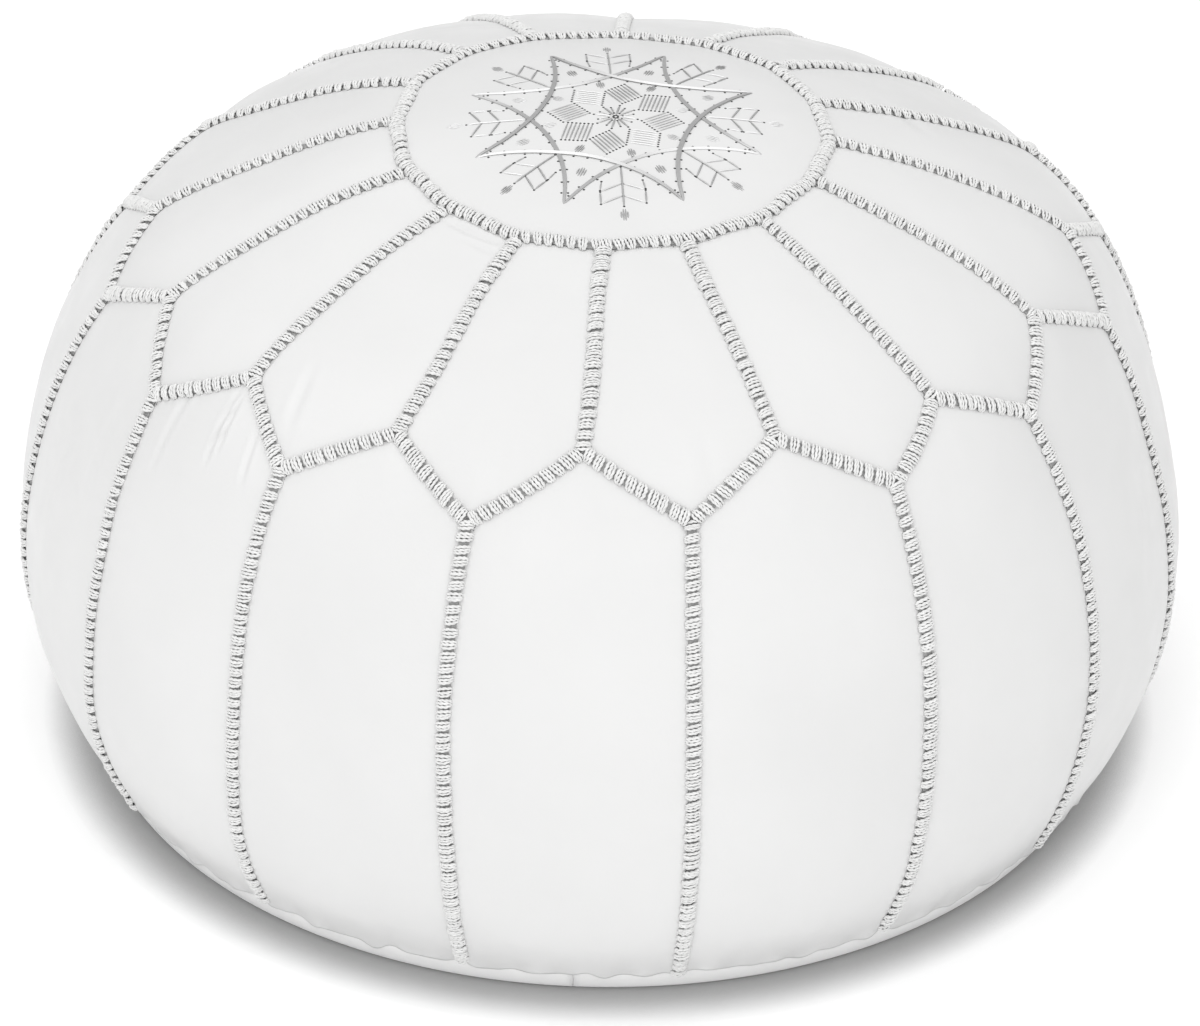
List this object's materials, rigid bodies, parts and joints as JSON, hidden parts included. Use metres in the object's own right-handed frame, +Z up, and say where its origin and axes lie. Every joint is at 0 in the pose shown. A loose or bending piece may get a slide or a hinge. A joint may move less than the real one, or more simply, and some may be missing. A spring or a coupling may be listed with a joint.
{
  "type": "leather floor pouf",
  "caption": "Round stuffed leather pouf with cord-stitched segmented panels, an embroidered round top piece and a zip recessed in its flat base; a seat, footstool or low table.",
  "frame": {"origin": "middle of the base, on the floor it stands on", "axes": "+Z up through the middle of the top piece; the zip in the base runs along Y, closed at its +Y end; an upper seam faces -Y"},
  "size_m": [0.56, 0.56, 0.3237],
  "materials": {
    "cover leather": "satin",
    "base leather": "matte",
    "embroidery thread": "satin",
    "seam thread": "satin",
    "sewing thread": "matte",
    "zip tape": "matte",
    "zip coil": "satin",
    "zip metal": "satin",
    "liner cloth": "matte",
    "stuffing": "matte"
  },
  "bodies": {
    "root": {"upper_panel_01": "cover leather", "upper_panel_02": "cover leather", "upper_panel_03": "cover leather", "upper_panel_04": "cover leather", "upper_panel_05": "cover leather", "upper_panel_06": "cover leather", "upper_panel_07": "cover leather", "upper_panel_08": "cover leather", "upper_panel_09": "cover leather", "upper_panel_10": "cover leather", "upper_panel_11": "cover leather", "upper_panel_12": "cover leather", "upper_panel_13": "cover leather", "upper_panel_14": "cover leather", "upper_panel_15": "cover leather", "upper_panel_16": "cover leather", "lower_panel_01": "cover leather", "lower_panel_02": "cover leather", "lower_panel_03": "cover leather", "lower_panel_04": "cover leather", "lower_panel_05": "cover leather", "lower_panel_06": "cover leather", "lower_panel_07": "cover leather", "lower_panel_08": "cover leather", "lower_panel_09": "cover leather", "lower_panel_10": "cover leather", "lower_panel_11": "cover leather", "lower_panel_12": "cover leather", "lower_panel_13": "cover leather", "lower_panel_14": "cover leather", "lower_panel_15": "cover leather", "lower_panel_16": "cover leather", "top_medallion": "cover leather", "base_left": "base leather", "base_right": "base leather", "medallion_embroidery": "embroidery thread", "ring_braid": "seam thread", "upper_seam_braids": "seam thread", "zigzag_braids": "seam thread", "lower_seam_braids": "seam thread", "base_seam_thread": "sewing thread", "base_closing_seam": "sewing thread", "zipper_stitching": "sewing thread", "zipper_tape_left": "zip tape", "zipper_tape_right": "zip tape", "zipper_coil_left": "zip coil", "zipper_coil_right": "zip coil", "zipper_bottom_stop": "zip metal", "zipper_top_stops": "zip metal", "inner_liner": "liner cloth", "filling": "stuffing"},
    "slider": {"zipper_slider": "zip metal"},
    "pull_tab": {"zipper_pull_tab": "zip metal"}
  },
  "joints": [
    {"name": "zip_slide", "type": "slide", "parent": "root", "child": "slider", "axis": [0, -1, 0], "range_m": [0, 0.326], "deforming": ["zipper_coil_left", "zipper_coil_right"]},
    {"name": "tab_swing", "type": "hinge", "parent": "slider", "child": "pull_tab", "pos_m": [0, 0.163, 0.0062], "axis": [1, 0, 0], "range_deg": [-6, 166]}
  ]
}
